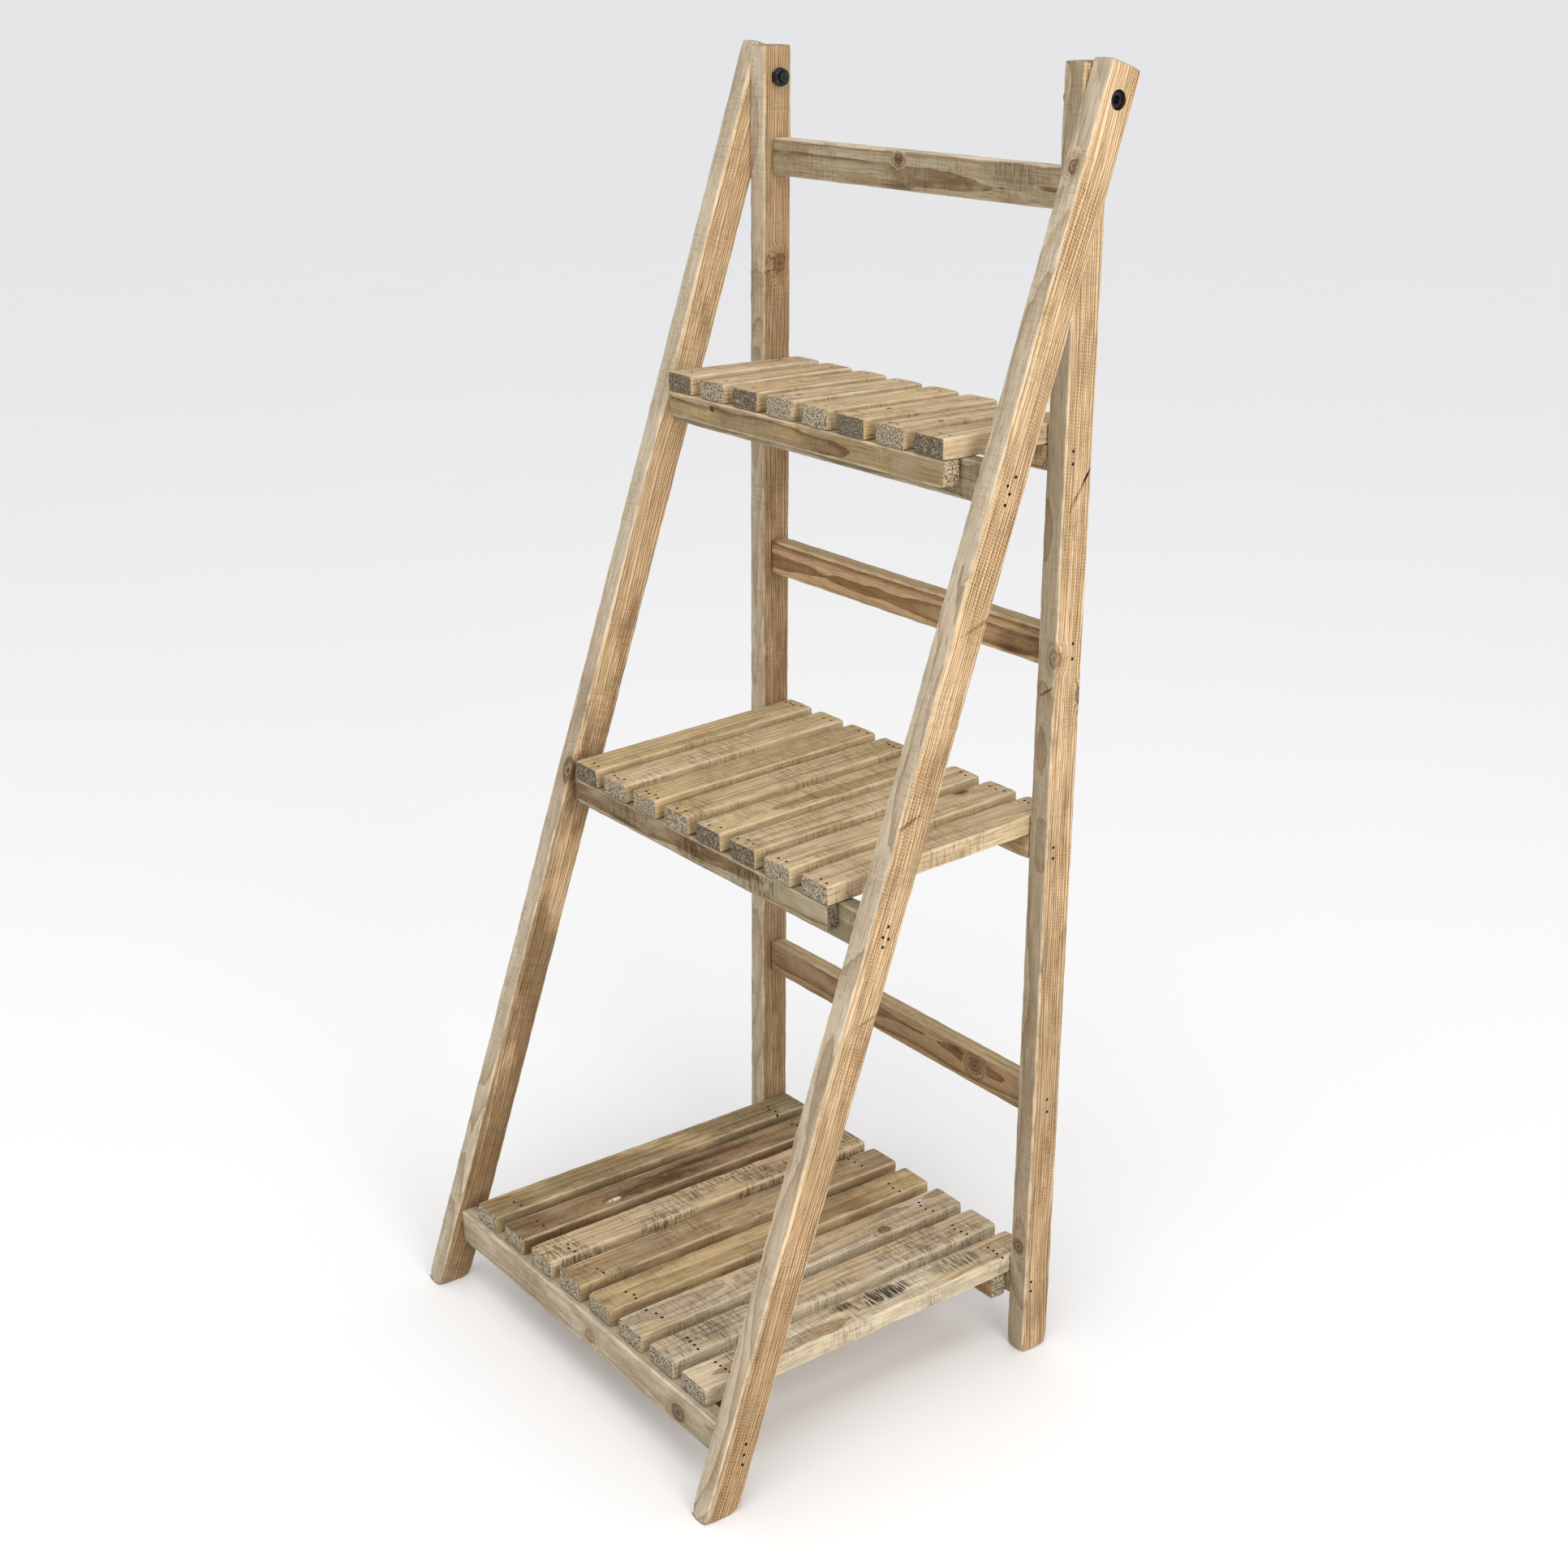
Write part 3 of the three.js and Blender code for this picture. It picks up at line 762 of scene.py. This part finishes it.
def timber_material(board, look, stains):
    """A board's timber: rings, fibres, weathering, saw marks, pale arrises, rough ends and its own marks."""
    timber = Timber(board, look, stains)
    shader, stain_of = timber.shader, timber.stains
    marks = [(mark, *timber.measure(mark)) for mark in look.marks]
    narrow = shader.step(abs(shader.dot(timber.normal, board.across)), 0.60, 0.88)
    late, rings = growth_rings(timber, marks, narrow)

    fibres = timber.noise(1.1, 0.022, 4, 0.6)
    hairs = timber.noise(2.0, 0.06, 3)
    blotch = timber.noise(0.035, 0.012, 4, 0.6)
    cloud = timber.noise(0.11, 0.03, 4, 0.65)

    # The second stain takes over in patches, and towards the low or front end where the look fades.
    fade = (0.5 - timber.y / (2 * timber.half.y)) * look.fade
    second = blotch + (look.patches - 0.5) * 0.45 + fade * 0.5 - 0.25 * (look.fade > 0)
    colour = shader.mix(shader.step(second, 0.40, 0.62), stain_of[look.stain], stain_of[look.second])
    if look.narrow:
        colour = shader.mix(narrow, colour, shader.mix(cloud * 0.6, stain_of[look.narrow], stain_of["grey"]))
    colour = shader.tint(colour, rings * look.latewood * 2.2, LATEWOOD_TINT)
    colour = shader.tint(colour, shader.step(fibres, 0.42, 0.66), FIBRE_TINT)
    colour = shader.tint(colour, shader.step(hairs, 0.52, 0.72), HAIR_TINT)

    # Weathering and dirt.
    greyed = shader.step(cloud + hairs * 0.15, 0.50, 0.78) * (look.grey * 1.5)
    colour = shader.mix(greyed, colour, stain_of["greenish"])
    dirt = shader.step(timber.noise(0.30, 0.10, 5, 0.7), 0.58, 0.72)
    colour = shader.tint(colour, dirt * (0.3 + look.grey * 0.7), DIRT_TINT)
    specks = shader.step(timber.noise(0.95, 0.5, 4, 0.75), 0.62, 0.72)
    colour = shader.tint(colour, specks * (0.25 + look.grey), SPECK_TINT)

    # Crosswise saw marks and the planer's ripple both come in patches.
    strokes = shader.step(timber.noise(0.06, 0.50, 5, 0.75), 0.48, 0.60)
    sawn = strokes * shader.step(timber.noise(0.022, 0.016, 3), 0.42, 0.56) * (1.9 * look.chatter)
    colour = shader.tint(colour, sawn, SAWN_TINT)
    height = fibres * 0.08 + rings * 0.14 - sawn * 0.15 + hairs * 0.05
    if look.hatch:
        bend = timber.noise(0.15, 0.15) * 5
        wave = (timber.x * 1.2 + timber.y * 1.2 + bend).math("SINE")
        cross_wave = (timber.y * 1.3 - timber.x * 0.7 + bend).math("SINE")
        ripple = wave * cross_wave * 0.5 + 0.5
        ripple = ripple * shader.step(timber.noise(0.05, 0.012, 3), 0.40, 0.60) * (1 - narrow) * look.hatch
        colour = shader.tint(colour, ripple, RIPPLE_TINT)
        height = height - ripple * 0.3

    # Sanding leaves the arrises pale; the pale band along them is also a painted highlight.
    to_arris = (timber.half.x - abs(timber.x)) + (timber.half.z - abs(timber.z))
    worn = shader.step(to_arris + (cloud - 0.5) * 4.5, 0.4, 2.6, 0.75, 0)
    sanded = tuple((2 * p + s) / 3 for p, s in zip(stain_of["pale"], stain_of[look.stain]))
    colour = shader.mix(worn * 0.8, colour, sanded)
    roughness = 0.80 + fibres * 0.12 - worn * 0.12

    streaks = timber.noise(0.045, 0.42, 4, 0.7)
    torn = shader.step(hairs + fibres, 0.85, 1.15)
    for mark, distance, facing in marks:
        if mark.kind == "knot":
            colour, height = add_knot(timber, colour, height, mark, distance, torn)
        else:
            side = shader.math("GREATER_THAN", shader.dot(timber.normal, facing), 0.4)
            colour = add_mark(timber, colour, mark, distance, side, streaks)

    # End grain is rough, darker and speckled.
    end = shader.step(abs(shader.dot(timber.normal, board.along)), 0.55, 0.85)
    speckle = timber.noise(0.62, 0.62, 5, 0.8)
    end_colour = shader.mix(shader.step(speckle, 0.42, 0.54), stain_of["charcoal"], stain_of[look.end])
    end_colour = shader.tint(end_colour, late * 0.5, END_RING_TINT)
    end_colour = shader.mix(shader.step(speckle, 0.56, 0.66) * 0.85, end_colour, stain_of["pale"])
    colour = shader.mix(end * 0.95, colour, end_colour)
    return shader.finish(colour, roughness + end * 0.1, height + end * speckle * 0.9, Specular_IOR_Level=0.28)


def growth_rings(timber, marks, narrow):
    """Latewood across each ring, and the same at the ring's own strength, fainter on narrow faces."""
    shader, look = timber.shader, timber.look
    drift = timber.noise(0.010, 0.0035) - 0.5
    sway = timber.noise(0.06, 0.010, 3) - 0.5
    across = timber.x - look.pith[0] + drift * 22
    out = timber.z - look.pith[1] + drift * 9
    reach = (across * across + out * out) ** 0.5 + sway * 2.2
    for mark, distance, _ in marks:
        if mark.kind == "knot":  # rings bend round it
            reach = reach + shader.step(distance, 0.5, 2.6, 1.6 * mark.across, 0)
    turns = reach / look.ring_gap + shader.line_noise(reach * 0.11) * 2.4
    late = turns.math("FRACT") ** look.sharpness
    strength = shader.line_noise(turns.math("FLOOR") * 7.3) * 1.3 + 0.15
    return late, late * strength * (1 - narrow * 0.55)


def add_knot(timber, colour, height, mark, distance, torn):
    """A knot: a warm halo, swirled heartwood, a torn dark rim and a dark middle."""
    shader, stain_of = timber.shader, timber.stains
    inside = shader.step(distance, 0.80, 1.08, 1, 0)
    rim = shader.step(abs(distance - 0.95), 0.02, 0.20, 1, 0)
    halo = shader.step(distance, 0.9, 2.4, 1, 0)
    heart = shader.step(distance, 0.05, 0.42, 1, 0)
    swirl = (distance * 11).math("SINE") * 0.25 + 0.55
    colour = shader.tint(colour, halo * 0.5 * mark.strength, HALO_TINT)
    colour = shader.mix(inside * swirl * mark.strength, colour, stain_of["knot"])
    colour = shader.mix(rim * (torn * 0.75 + 0.15) * mark.strength, colour, stain_of["charcoal"])
    colour = shader.mix(heart * 0.6 * mark.strength, colour, stain_of["charcoal"])
    return colour, height - rim * 0.2 + inside * 0.12


def add_mark(timber, colour, mark, distance, side, streaks):
    """A smudge, streak, pit or fleck, on the side that it faces."""
    shader, stain_of = timber.shader, timber.stains
    inside = shader.step(distance, 0.55, 1.15, 1, 0) * side * mark.strength
    if mark.kind == "smudge":
        return shader.mix(inside * shader.step(streaks, 0.42, 0.56), colour, stain_of["charcoal"])
    if mark.kind == "streak":
        return shader.tint(colour, inside, STREAK_TINT)
    # A pit is not cut: its dark disc is painted shade inside it.
    if mark.kind == "pit":
        return shader.mix(shader.step(distance, 0.8, 1.05, 1, 0) * side, colour, stain_of["charcoal"])
    return shader.mix(inside * shader.step(streaks, 0.35, 0.55), colour, stain_of["pale"])


def once(make):
    """Keeps a finish that several pieces share."""
    made = []

    def kept(*args):
        if not made:
            made.append(make(*args))
        return made[0]

    return kept


@once
def bored_timber(stains):
    """The walls of the holes and cracks, painted dark as the shade inside them."""
    shader = Shader("bored_timber")
    grain = shader.node("ShaderNodeAttribute", {"attribute_name": GRAIN}, {}, "Vector")
    torn = shader.noise(grain, (1.5, 1.5, 1.5), (3, 5, 7), 3)
    colour = shader.mix(torn, linear(stains.charcoal), linear(stains.knot))
    colour = shader.tint(colour, 0.7, HOLE_SHADE_TINT)
    return shader.finish(colour, torn * 0.2 + 0.75, torn * 0.2, Specular_IOR_Level=0.15)


@once
def nail_steel():
    """Dull nail heads with a little rust."""
    shader = Shader("nail_steel")
    place = shader.node("ShaderNodeTexCoord", {}, {}, "Object")
    rust = shader.noise(place, (900, 900, 900), (1, 2, 3), 3)
    colour = shader.mix(shader.step(rust, 0.4, 0.7), DULL_STEEL, RUST)
    return shader.finish(colour, rust * 0.3 + 0.45, Metallic=0.4)


def black_steel(name, shine):
    """Black oxide steel, with brighter worn spots that are also painted highlights."""
    shader = Shader(name + "_black_oxide")
    place = shader.node("ShaderNodeTexCoord", {}, {}, "Object")
    chance = random.Random(name)
    shift = tuple(chance.uniform(-9, 9) for _ in range(3))
    oily = shader.noise(place, (420, 420, 420), shift, 3)
    fine = shader.noise(place, (2600, 2600, 2600), shift, 2)
    # Worn spots, painted bluish grey as highlights on the steel.
    rubbed_highlight = shader.step(oily, 0.55, 0.75)
    colour = shader.mix(rubbed_highlight * shine, BLACK_OXIDE, RUBBED_HIGHLIGHT_OXIDE)
    return shader.finish(colour, 0.24 + fine * 0.2 - rubbed_highlight * 0.08, fine * 0.03, Metallic=0.6)


# ---- Each board's look ----


def knot(place, across, along=None, strength=1.0):
    return Mark("knot", place, across, along or across * 1.25, 0, strength)


def bottom_mark(kind, x, y, across, along, strength):
    """A mark on top of the bottom shelf."""
    return Mark(kind, (x, y, BOTTOM_SHELF_TOP), across, along, 0, strength)


LOOKS = {
    "front_leg_right": Look(
        "honey", "tan", patches=0.4, fade=1.0, ring_gap=2.5, pith=(62, 6), latewood=0.85, grey=0.18,
        chatter=0.12, hatch=1.0, narrow="weathered",
        marks=(
            knot((203, -17, 972), 4.5),
            Mark("pit", (201, -134, 652), 1.6, 2.2),
            Mark("streak", (213, -91, 663), 2.0, 25, -52, 0.6),
            Mark("streak", (213, -159, 524), 1.7, 14, -50, 0.8),
            Mark("streak", (213, -189, 379), 1.5, 20, -56, 0.6),
        ),
    ),
    "front_leg_left": Look(
        "honey", "brown", patches=0.42, fade=1.0, ring_gap=2.5, pith=(-58, 4), latewood=0.85, grey=0.25,
        chatter=0.15, hatch=0.5, narrow="weathered", marks=(knot((-197, -193, 454), 7, 11),),
    ),
    "rear_leg_right": Look(
        "honey", "tan", patches=0.45, fade=0.8, ring_gap=2.4, pith=(58, 3), latewood=0.85, grey=0.25,
        chatter=0.12, hatch=0.9, narrow="grey",
        marks=(
            knot((182, 0, 100), 5), knot((190, 0, 612), 4.5, 7, 0.55), knot((192.5, 26, 580), 2.6, 7),
            Mark("streak", (184, 0, 585), 1.4, 11, -55, 0.9),
            Mark("streak", (192.5, 14, 735), 2, 20, -33, 0.5),
        ),
    ),
    "rear_leg_left": Look(
        "tan", "brown", patches=0.75, fade=0.7, ring_gap=2.5, pith=(-56, 6), latewood=0.75, grey=0.25,
        chatter=0.15, hatch=0.4, narrow="weathered", marks=(knot((-172.5, 15.7, 866), 6.5, 8, 0.7),),
    ),
    "rear_top_rail": Look(
        "grey", "olive", patches=0.45, ring_gap=4.0, pith=(5, -26), latewood=0.7, grey=0.4, chatter=0.2,
        narrow="pale", sharpness=3,
        marks=(knot((-11, 7.5, 961), 3.5, 4.5), Mark("smudge", (119, 7.5, 960), 11, 34, 0, 0.45)),
    ),
    "rear_upper_tie_rail": Look(
        "tan", "umber", patches=0.5, fade=-0.9, ring_gap=4.6, pith=(3, -24), latewood=0.8, grey=0.15,
        chatter=0.12, narrow="straw",
    ),
    "rear_lower_tie_rail": Look(
        "brown", "umber", patches=0.35, ring_gap=3.2, pith=(-6, -30), latewood=0.75, grey=0.2, chatter=0.12,
        narrow="straw",
        marks=(knot((112, 7.5, 236), 5),),
    ),
    "rear_rail_top_shelf": Look("brown", "tan", pith=(8, -30), latewood=0.4),
    "rear_rail_middle_shelf": Look("brown", "tan", pith=(5, -36), latewood=0.4),
    "rear_rail_bottom_shelf": Look("brown", "olive", pith=(-7, -33), latewood=0.4),
    "front_rail_top_shelf": Look("greenish", "grey", pith=(-5, -34), latewood=0.35, grey=0.3),
    "front_rail_middle_shelf": Look("grey", "greenish", pith=(7, -38), latewood=0.35, grey=0.45),
    "front_rail_bottom_shelf": Look(
        "weathered", "grey", patches=0.55, ring_gap=3.1, pith=(-9, -40), latewood=0.3, grey=0.45,
        chatter=0.15, narrow="weathered",
        marks=(knot((140.7, -317.4, 50), 7), knot((15.6, -317.4, 51), 6, None, 0.6)),
    ),
    "top_shelf_front_batten": Look(
        "straw", "olive", patches=0.85, ring_gap=6.5, pith=(2, -24), latewood=1.0, grey=0.35, chatter=0.15,
        end="beige", sharpness=7,
        marks=(Mark("pit", (-110, -97, 766), 3.0, 4.0), Mark("fleck", (-160, -97, 746), 3, 10, 0, 0.8)),
    ),
    "top_shelf_rear_batten": Look("olive", "brown", pith=(6, -26), latewood=0.5),
    "middle_shelf_front_batten": Look(
        "olive", "grey", patches=0.5, ring_gap=3.3, pith=(-4, -24), latewood=0.7, grey=0.5, chatter=0.55,
        end="end_dark",
    ),
    "middle_shelf_rear_batten": Look("olive", "brown", pith=(4, -26), latewood=0.5),
    "bottom_shelf_front_batten": Look("brown", "olive", pith=(-6, -28), latewood=0.45),
    "bottom_shelf_rear_batten": Look("brown", "tan", pith=(6, -30), latewood=0.45),
}

# Slats from left to right: stain, second stain, its share, saw marks, grey, end stain and marks.
SLAT_LOOKS = {
    "top_shelf": (
        ("beige", "tan", 0.4, 0.25, 0.15, "end_dark", (Mark("pit", (-163, 9.5, 788), 1.8, 2.6),)),
        ("beige", "tan", 0.5, 0.20, 0.15, "end_light", ()),
        ("tan", "straw", 0.5, 0.30, 0.30, "end_dark", ()),
        ("beige", "grey", 0.4, 0.35, 0.30, "end_light", (Mark("pit", (-24.4, -76.9, 788), 2.0, 3.2),)),
        ("straw", "beige", 0.5, 0.30, 0.20, "end_light", ()),
        ("beige", "straw", 0.4, 0.45, 0.25, "end_dark", (Mark("pit", (60.1, -56.5, 788), 2.0, 3.0),)),
        ("beige", "tan", 0.4, 0.35, 0.20, "end_light", (Mark("pit", (119.7, -56.9, 788), 1.8, 2.4),)),
        ("beige", "straw", 0.4, 0.35, 0.25, "end_dark", ()),
    ),
    "middle_shelf": (
        ("straw", "beige", 0.4, 0.20, 0.20, "end_dark", ()),
        ("beige", "straw", 0.5, 0.35, 0.20, "end_light", ()),
        ("straw", "tan", 0.4, 0.25, 0.20, "end_light", ()),
        ("straw", "beige", 0.5, 0.35, 0.20, "end_light", ()),
        ("beige", "straw", 0.5, 0.30, 0.25, "end_dark", ()),
        ("beige", "straw", 0.4, 0.28, 0.25, "end_dark", ()),
        (
            "beige", "straw", 0.4, 0.35, 0.25, "end_light",
            (Mark("pit", (99, -6, 479), 2.4, 4.5), knot((99, -6, 479), 5)),
        ),
        ("beige", "straw", 0.3, 0.30, 0.20, "end_light", ()),
    ),
    "bottom_shelf": (
        ("olive", "straw", 0.35, 0.20, 0.30, "end_light", ()),
        (
            "brown", "umber", 0.55, 0.25, 0.35, "end_light",
            (
                bottom_mark("streak", -106, -178, 8, 60, 0.9), bottom_mark("streak", -116, -110, 5, 70, 0.7),
                bottom_mark("fleck", -104, -215, 3, 8, 0.9),
            ),
        ),
        (
            "beige", "tan", 0.4, 0.75, 0.25, "end_light",
            (bottom_mark("smudge", -66, -175, 13, 34, 0.45), bottom_mark("smudge", -62, -75, 12, 24, 0.5)),
        ),
        ("straw", "brown", 0.65, 0.30, 0.35, "end_light", ()),
        ("brown", "straw", 0.6, 0.20, 0.20, "end_light", ()),
        (
            "beige", "weathered", 0.5, 0.30, 0.3, "end_light",
            (knot((76, -57, 85), 5), bottom_mark("smudge", 66, -190, 12, 22, 0.4)),
        ),
        (
            "beige", "weathered", 0.5, 0.45, 0.25, "end_light",
            (bottom_mark("smudge", 108, -262, 12, 30, 0.5), bottom_mark("smudge", 112, -40, 10, 24, 0.35)),
        ),
        (
            "beige", "pale", 0.6, 0.30, 0.25, "end_light",
            (
                bottom_mark("smudge", 151, -126, 11, 34, 1.0), bottom_mark("smudge", 152, -118, 8, 26, 1.0),
                bottom_mark("smudge", 146, -160, 6, 12, 0.9), bottom_mark("smudge", 151, -42, 12, 26, 0.8),
                bottom_mark("smudge", 150, -262, 10, 22, 0.5),
            ),
        ),
    ),
}  # fmt: skip
# These two slats' sides are painted pale, as painted light where the lamps fall on them.
PAINTED_LIT_SIDE_SLATS = ("bottom_shelf_slat_7", "bottom_shelf_slat_8")


def slat_look(name, stain, second, patches, chatter, grey, end, marks):
    """A slat's look, with rings of its own."""
    shelf, number = name.rsplit("_slat_", 1)
    chance = random.Random(f"{shelf} rings {number}")
    return Look(
        stain, second, patches, ring_gap=chance.uniform(2.4, 3.8),
        pith=(chance.uniform(-22, 22), -chance.uniform(18, 46)), latewood=chance.uniform(0.25, 0.48),
        grey=grey, chatter=chatter, end=end, marks=marks, narrow="pale" if name in PAINTED_LIT_SIDE_SLATS else "",
    )


LOOKS |= {
    (name := f"{shelf}_slat_{number}"): slat_look(name, *row)
    for shelf, rows in SLAT_LOOKS.items()
    for number, row in enumerate(rows, 1)
}


# ---- Stage ----


def make_stage(settings):
    """A pale floor, soft lamps and the camera at the photograph's place."""
    stage = settings.stage
    bm = bmesh.new()
    bmesh.ops.create_circle(bm, cap_ends=True, segments=64, radius=FLOOR_RADIUS)
    floor = mesh_object("floor", bm)
    shader = Shader("pale_floor")
    place = shader.node("ShaderNodeTexCoord", {}, {}, "Object")
    mottle = shader.noise(place, (3, 3, 3), (0, 0, 0), 3)
    pale = linear(stage.floor_colour)
    colour = shader.mix(mottle, pale, tuple(0.985 * c for c in pale))
    floor.data.materials.append(shader.finish(colour, mottle * 0.1 + 0.75, Specular_IOR_Level=0.2))

    world = bpy.data.worlds.new("soft_sky")
    world.use_nodes = True
    sky = world.node_tree.nodes["Background"]
    sky.inputs["Color"].default_value = (*linear(stage.sky_colour), 1)
    sky.inputs["Strength"].default_value = stage.sky_strength
    bpy.context.scene.world = world

    # Name, place, size in metres, power in watts and colour of each soft lamp.
    for name, spot, size, watts, colour in (
        ("key_lamp", (3.0, -0.5, 1.3), 1.8, 40, (1.0, 0.98, 0.95)),
        ("front_lamp", (-0.6, -3.0, 1.9), 2.0, 6, (0.97, 0.985, 1.0)),
        ("top_lamp", (0.9, -0.9, 3.2), 1.6, 22, (1.0, 1.0, 1.0)),
    ):
        lamp = bpy.data.lights.new(name, "AREA")
        lamp.shape, lamp.size, lamp.energy, lamp.color = "DISK", size, watts, colour
        obj = bpy.data.objects.new(name, lamp)
        obj.location = spot
        obj.rotation_euler = (Vector((0, 0, 0.5)) - Vector(spot)).to_track_quat("-Z", "Y").to_euler()
        bpy.context.scene.collection.objects.link(obj)

    lens = bpy.data.cameras.new("photo_camera")
    lens.sensor_width, lens.lens, lens.clip_end = SENSOR_WIDTH, stage.focal_length, VIEW_REACH
    camera = bpy.data.objects.new("photo_camera", lens)
    camera.matrix_world = (
        Matrix.Translation(stage.camera_place)
        @ Matrix.Rotation(stage.camera_heading, 4, "Z")
        @ Matrix.Rotation(math.pi / 2 - stage.camera_tilt, 4, "X")
        @ Matrix.Rotation(stage.camera_roll, 4, "Z")
    )
    bpy.context.scene.collection.objects.link(camera)
    bpy.context.scene.camera = camera
    bpy.context.scene.view_settings.view_transform = "Standard"


# ---- Operators, panel and registration ----


def named(*words):
    """The wooden nodes whose names hold one of these words."""
    return [n for n in sorted(frame["nodes"]) if not n.startswith("pivot") and any(w in n for w in words)]


class BoardOperator:
    """Shared by the operators that build boards."""

    bl_options = {"REGISTER", "UNDO"}
    words = ()

    def execute(self, context):
        settings = settings_of(context)
        for name in named(*self.words):
            make_board(name, settings)
        return {"FINISHED"}


class STAND_OT_rear_legs(BoardOperator, bpy.types.Operator):
    """Build the two upright rear legs"""

    bl_idname = "stand.rear_legs"
    bl_label = "Rear legs"
    words = ("rear_leg_",)


class STAND_OT_front_legs(BoardOperator, bpy.types.Operator):
    """Build the two sloping front legs"""

    bl_idname = "stand.front_legs"
    bl_label = "Front legs"
    words = ("front_leg_",)


class STAND_OT_rails(BoardOperator, bpy.types.Operator):
    """Build the rails that join the legs"""

    bl_idname = "stand.rails"
    bl_label = "Rails"
    words = ("rail",)


class STAND_OT_battens(BoardOperator, bpy.types.Operator):
    """Build the battens under the slats"""

    bl_idname = "stand.battens"
    bl_label = "Battens"
    words = ("batten",)


class STAND_OT_slats(BoardOperator, bpy.types.Operator):
    """Build the slats of the three shelves"""

    bl_idname = "stand.slats"
    bl_label = "Slats"
    words = ("slat_",)


class STAND_OT_nail_heads(bpy.types.Operator):
    """Build the heads of the sunk nails"""

    bl_idname = "stand.nail_heads"
    bl_label = "Nail heads"

    def execute(self, context):
        make_nail_heads(settings_of(context))
        return {"FINISHED"}


class STAND_OT_hardware(bpy.types.Operator):
    """Build the pivot bolts and nuts"""

    bl_idname = "stand.hardware"
    bl_label = "Bolts and nuts"

    def execute(self, context):
        make_hardware(settings_of(context))
        return {"FINISHED"}


class STAND_OT_stage(bpy.types.Operator):
    """Build the floor, the lamps and the camera"""

    bl_idname = "stand.stage"
    bl_label = "Stage"

    def execute(self, context):
        make_stage(settings_of(context))
        return {"FINISHED"}


OPERATORS = (
    STAND_OT_stage, STAND_OT_rear_legs, STAND_OT_front_legs, STAND_OT_rails, STAND_OT_battens, STAND_OT_slats,
    STAND_OT_nail_heads, STAND_OT_hardware,
)  # fmt: skip


class STAND_PT_panel(bpy.types.Panel):
    """Sizes, colours and steps of the stand"""

    bl_label = "Plant ladder stand"
    bl_idname = "STAND_PT_panel"
    bl_space_type = "VIEW_3D"
    bl_region_type = "UI"
    bl_category = "Stand"

    def draw(self, context):
        for operator in OPERATORS:
            self.layout.operator(operator.bl_idname)
        for attribute, group in GROUPS.items():
            box = self.layout.box()
            box.label(text=group.__doc__)
            for name in group.__annotations__:
                box.prop(getattr(context.scene, attribute), name)


GROUPS = {
    "stand_timber": TimberSettings,
    "stand_stains": StainSettings,
    "stand_nails": NailSettings,
    "stand_hardware": HardwareSettings,
    "stand_stage": StageSettings,
}


def register():
    for group in GROUPS.values():
        bpy.utils.register_class(group)
    for attribute, group in GROUPS.items():
        setattr(bpy.types.Scene, attribute, PointerProperty(type=group))
    for operator in OPERATORS:
        bpy.utils.register_class(operator)
    bpy.utils.register_class(STAND_PT_panel)


def unregister():
    bpy.utils.unregister_class(STAND_PT_panel)
    for operator in reversed(OPERATORS):
        bpy.utils.unregister_class(operator)
    for attribute in GROUPS:
        delattr(bpy.types.Scene, attribute)
    for group in GROUPS.values():
        bpy.utils.unregister_class(group)


def main():
    """Builds the whole stand."""
    register()
    bpy.ops.stand.stage()
    bpy.ops.stand.rear_legs()
    bpy.ops.stand.front_legs()
    bpy.ops.stand.rails()
    bpy.ops.stand.battens()
    bpy.ops.stand.slats()
    bpy.ops.stand.nail_heads()
    bpy.ops.stand.hardware()


if __name__ == "__main__":
    main()
